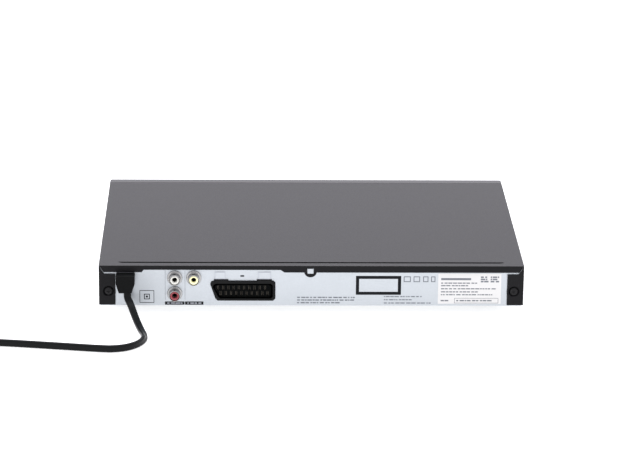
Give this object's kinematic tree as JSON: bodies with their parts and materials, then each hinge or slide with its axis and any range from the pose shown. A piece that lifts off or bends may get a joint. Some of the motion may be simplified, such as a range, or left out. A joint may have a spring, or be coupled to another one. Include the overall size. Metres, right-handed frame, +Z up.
{
  "type": "dvd player",
  "caption": "Slim disc player with a black folded cover, zinc rear panel with round and long sockets, a sliding disc tray and a flat mains cord with a two-pin plug.",
  "frame": {"origin": "centre of the player's footprint, buttons and cord bush included, on the surface it stands on", "axes": "+Z up; -Y towards the front with the tray and buttons; +Y towards the rear panel; +X to the right for someone facing the front"},
  "size_m": [0.48, 0.2887, 0.038],
  "materials": {
    "top_cover": "satin black paint on folded steel",
    "bottom_chassis": "bare zinc-coated steel sheet",
    "rear_panel": "bare zinc-coated steel sheet",
    "front_panel": "satin moulded plastic",
    "display_window": "smoked gloss",
    "open_button": "satin",
    "play_button": "satin",
    "stop_button": "satin",
    "power_button": "satin",
    "front_board": "solder mask",
    "usb_socket": "plated",
    "foot_front_left": "matt",
    "foot_front_right": "matt",
    "foot_rear_left": "matt",
    "foot_rear_right": "matt",
    "cover_screw_left": "blackened",
    "cover_screw_right": "blackened",
    "main_board": "solder mask",
    "decoder_chip": "matt",
    "power_board": "bare laminate",
    "transformer": "sintered core",
    "mains_capacitor": "sleeved can",
    "jack_block": "matt",
    "jack_barrel_white": "nickel plated",
    "jack_barrel_yellow": "nickel plated",
    "jack_barrel_red": "nickel plated",
    "jack_insert_white": "satin",
    "jack_insert_yellow": "satin",
    "jack_insert_red": "satin",
    "scart_socket": "satin",
    "cord_bush": "matt",
    "mains_cord": "satin",
    "cord_coil": "satin",
    "cord_tail": "satin",
    "cord_tie": "matt",
    "plug_body": "satin",
    "plug_pin_left": "nickel plated",
    "plug_pin_right": "nickel plated",
    "loader_frame": "moulded",
    "disc_tray": "moulded",
    "tray_front": "satin moulded plastic",
    "clamper_bridge": "bare zinc-coated steel sheet",
    "clamper": "moulded",
    "traverse_frame": "moulded",
    "spindle_motor": "plated can",
    "turntable": "moulded",
    "guide_rod_left": "ground rod",
    "guide_rod_right": "ground rod",
    "pickup": "die cast",
    "objective_lens": "clear",
    "sled_motor": "plated can",
    "lead_screw": "turned",
    "loading_motor": "plated can",
    "motor_pulley": "turned",
    "loading_belt": "matt",
    "pulley_gear": "moulded",
    "tray_gear": "moulded",
    "cam_slider": "moulded",
    "ribbon_cable": "film"
  },
  "bodies": {
    "chassis": {"top_cover": "top_cover", "bottom_chassis": "bottom_chassis", "rear_panel": "rear_panel", "front_panel": "front_panel", "display_window": "display_window", "front_board": "front_board", "usb_socket": "usb_socket", "foot_front_left": "foot_front_left", "foot_front_right": "foot_front_right", "foot_rear_left": "foot_rear_left", "foot_rear_right": "foot_rear_right", "cover_screw_left": "cover_screw_left", "cover_screw_right": "cover_screw_right", "main_board": "main_board", "decoder_chip": "decoder_chip", "power_board": "power_board", "transformer": "transformer", "mains_capacitor": "mains_capacitor", "jack_block": "jack_block", "jack_barrel_white": "jack_barrel_white", "jack_barrel_yellow": "jack_barrel_yellow", "jack_barrel_red": "jack_barrel_red", "jack_insert_white": "jack_insert_white", "jack_insert_yellow": "jack_insert_yellow", "jack_insert_red": "jack_insert_red", "scart_socket": "scart_socket", "cord_bush": "cord_bush", "mains_cord": "mains_cord", "cord_coil": "cord_coil", "cord_tail": "cord_tail", "cord_tie": "cord_tie", "plug_body": "plug_body", "plug_pin_left": "plug_pin_left", "plug_pin_right": "plug_pin_right", "loader_frame": "loader_frame", "clamper_bridge": "clamper_bridge", "loading_motor": "loading_motor", "loading_belt": "loading_belt", "ribbon_cable": "ribbon_cable"},
    "tray": {"disc_tray": "disc_tray", "tray_front": "tray_front"},
    "tray_gear": {"tray_gear": "tray_gear"},
    "pulley_gear": {"pulley_gear": "pulley_gear"},
    "motor_pulley": {"motor_pulley": "motor_pulley"},
    "cam": {"cam_slider": "cam_slider"},
    "traverse": {"traverse_frame": "traverse_frame", "spindle_motor": "spindle_motor", "guide_rod_left": "guide_rod_left", "guide_rod_right": "guide_rod_right", "sled_motor": "sled_motor"},
    "turntable": {"turntable": "turntable"},
    "pickup": {"pickup": "pickup"},
    "lens": {"objective_lens": "objective_lens"},
    "lead_screw": {"lead_screw": "lead_screw"},
    "clamper": {"clamper": "clamper"},
    "open_button": {"open_button": "open_button"},
    "play_button": {"play_button": "play_button"},
    "stop_button": {"stop_button": "stop_button"},
    "power_button": {"power_button": "power_button"}
  },
  "joints": [
    {"name": "tray_slide", "type": "slide", "parent": "chassis", "child": "tray", "axis": [0, -1, 0], "range_m": [0, 0.131]},
    {"name": "tray_gear_turn", "type": "hinge", "parent": "chassis", "child": "tray_gear", "pos_m": [-0.0153, -0.082, 0.019], "axis": [0, 0, 1], "range_deg": [-751, 0]},
    {"name": "pulley_gear_turn", "type": "hinge", "parent": "chassis", "child": "pulley_gear", "pos_m": [-0.0296, -0.082, 0.02], "axis": [0, 0, 1], "range_deg": [0, 1877]},
    {"name": "motor_pulley_turn", "type": "hinge", "parent": "chassis", "child": "motor_pulley", "pos_m": [-0.059, -0.083, 0.022], "axis": [0, 0, 1], "range_deg": [0, 5630]},
    {"name": "cam_slide", "type": "slide", "parent": "chassis", "child": "cam", "axis": [1, 0, 0], "range_m": [0, 0.018]},
    {"name": "traverse_swing", "type": "hinge", "parent": "chassis", "child": "traverse", "pos_m": [-0.065, 0.05, 0.0162], "axis": [1, 0, 0], "range_deg": [0, 3.01]},
    {"name": "spindle_spin", "type": "hinge", "parent": "traverse", "child": "turntable", "pos_m": [-0.065, -0.0395, 0.026], "axis": [0, 0, 1], "continuous": true},
    {"name": "clamper_spin", "type": "hinge", "parent": "chassis", "child": "clamper", "pos_m": [-0.065, -0.0395, 0.033], "axis": [0, 0, 1], "continuous": true},
    {"name": "pickup_slide", "type": "slide", "parent": "traverse", "child": "pickup", "axis": [0, 1, 0], "range_m": [0, 0.036]},
    {"name": "lead_screw_turn", "type": "hinge", "parent": "traverse", "child": "lead_screw", "pos_m": [-0.029, 0, 0.0196], "axis": [0, 1, 0], "range_deg": [0, 4321]},
    {"name": "lens_focus", "type": "slide", "parent": "pickup", "child": "lens", "axis": [0, 0, 1], "range_m": [-0.0006, 0.0006], "stiffness_N_per_m": 60},
    {"name": "open_press", "type": "slide", "parent": "chassis", "child": "open_button", "axis": [0, 1, 0], "range_m": [0, 0.0006], "stiffness_N_per_m": 400},
    {"name": "play_press", "type": "slide", "parent": "chassis", "child": "play_button", "axis": [0, 1, 0], "range_m": [0, 0.0006], "stiffness_N_per_m": 400},
    {"name": "stop_press", "type": "slide", "parent": "chassis", "child": "stop_button", "axis": [0, 1, 0], "range_m": [0, 0.0006], "stiffness_N_per_m": 400},
    {"name": "power_press", "type": "slide", "parent": "chassis", "child": "power_button", "axis": [0, 1, 0], "range_m": [0, 0.0006], "stiffness_N_per_m": 400}
  ],
  "couplings": [
    {"joint": "tray_gear_turn", "follows": "tray_slide", "rad_per_m": -100},
    {"joint": "pulley_gear_turn", "follows": "tray_slide", "rad_per_m": 250},
    {"joint": "motor_pulley_turn", "follows": "tray_slide", "rad_per_m": 750},
    {"joint": "traverse_swing", "follows": "cam_slide", "rad_per_m": 2.9089},
    {"joint": "clamper_spin", "follows": "spindle_spin", "ratio": 1},
    {"joint": "lead_screw_turn", "follows": "pickup_slide", "rad_per_m": 2094.4}
  ]
}
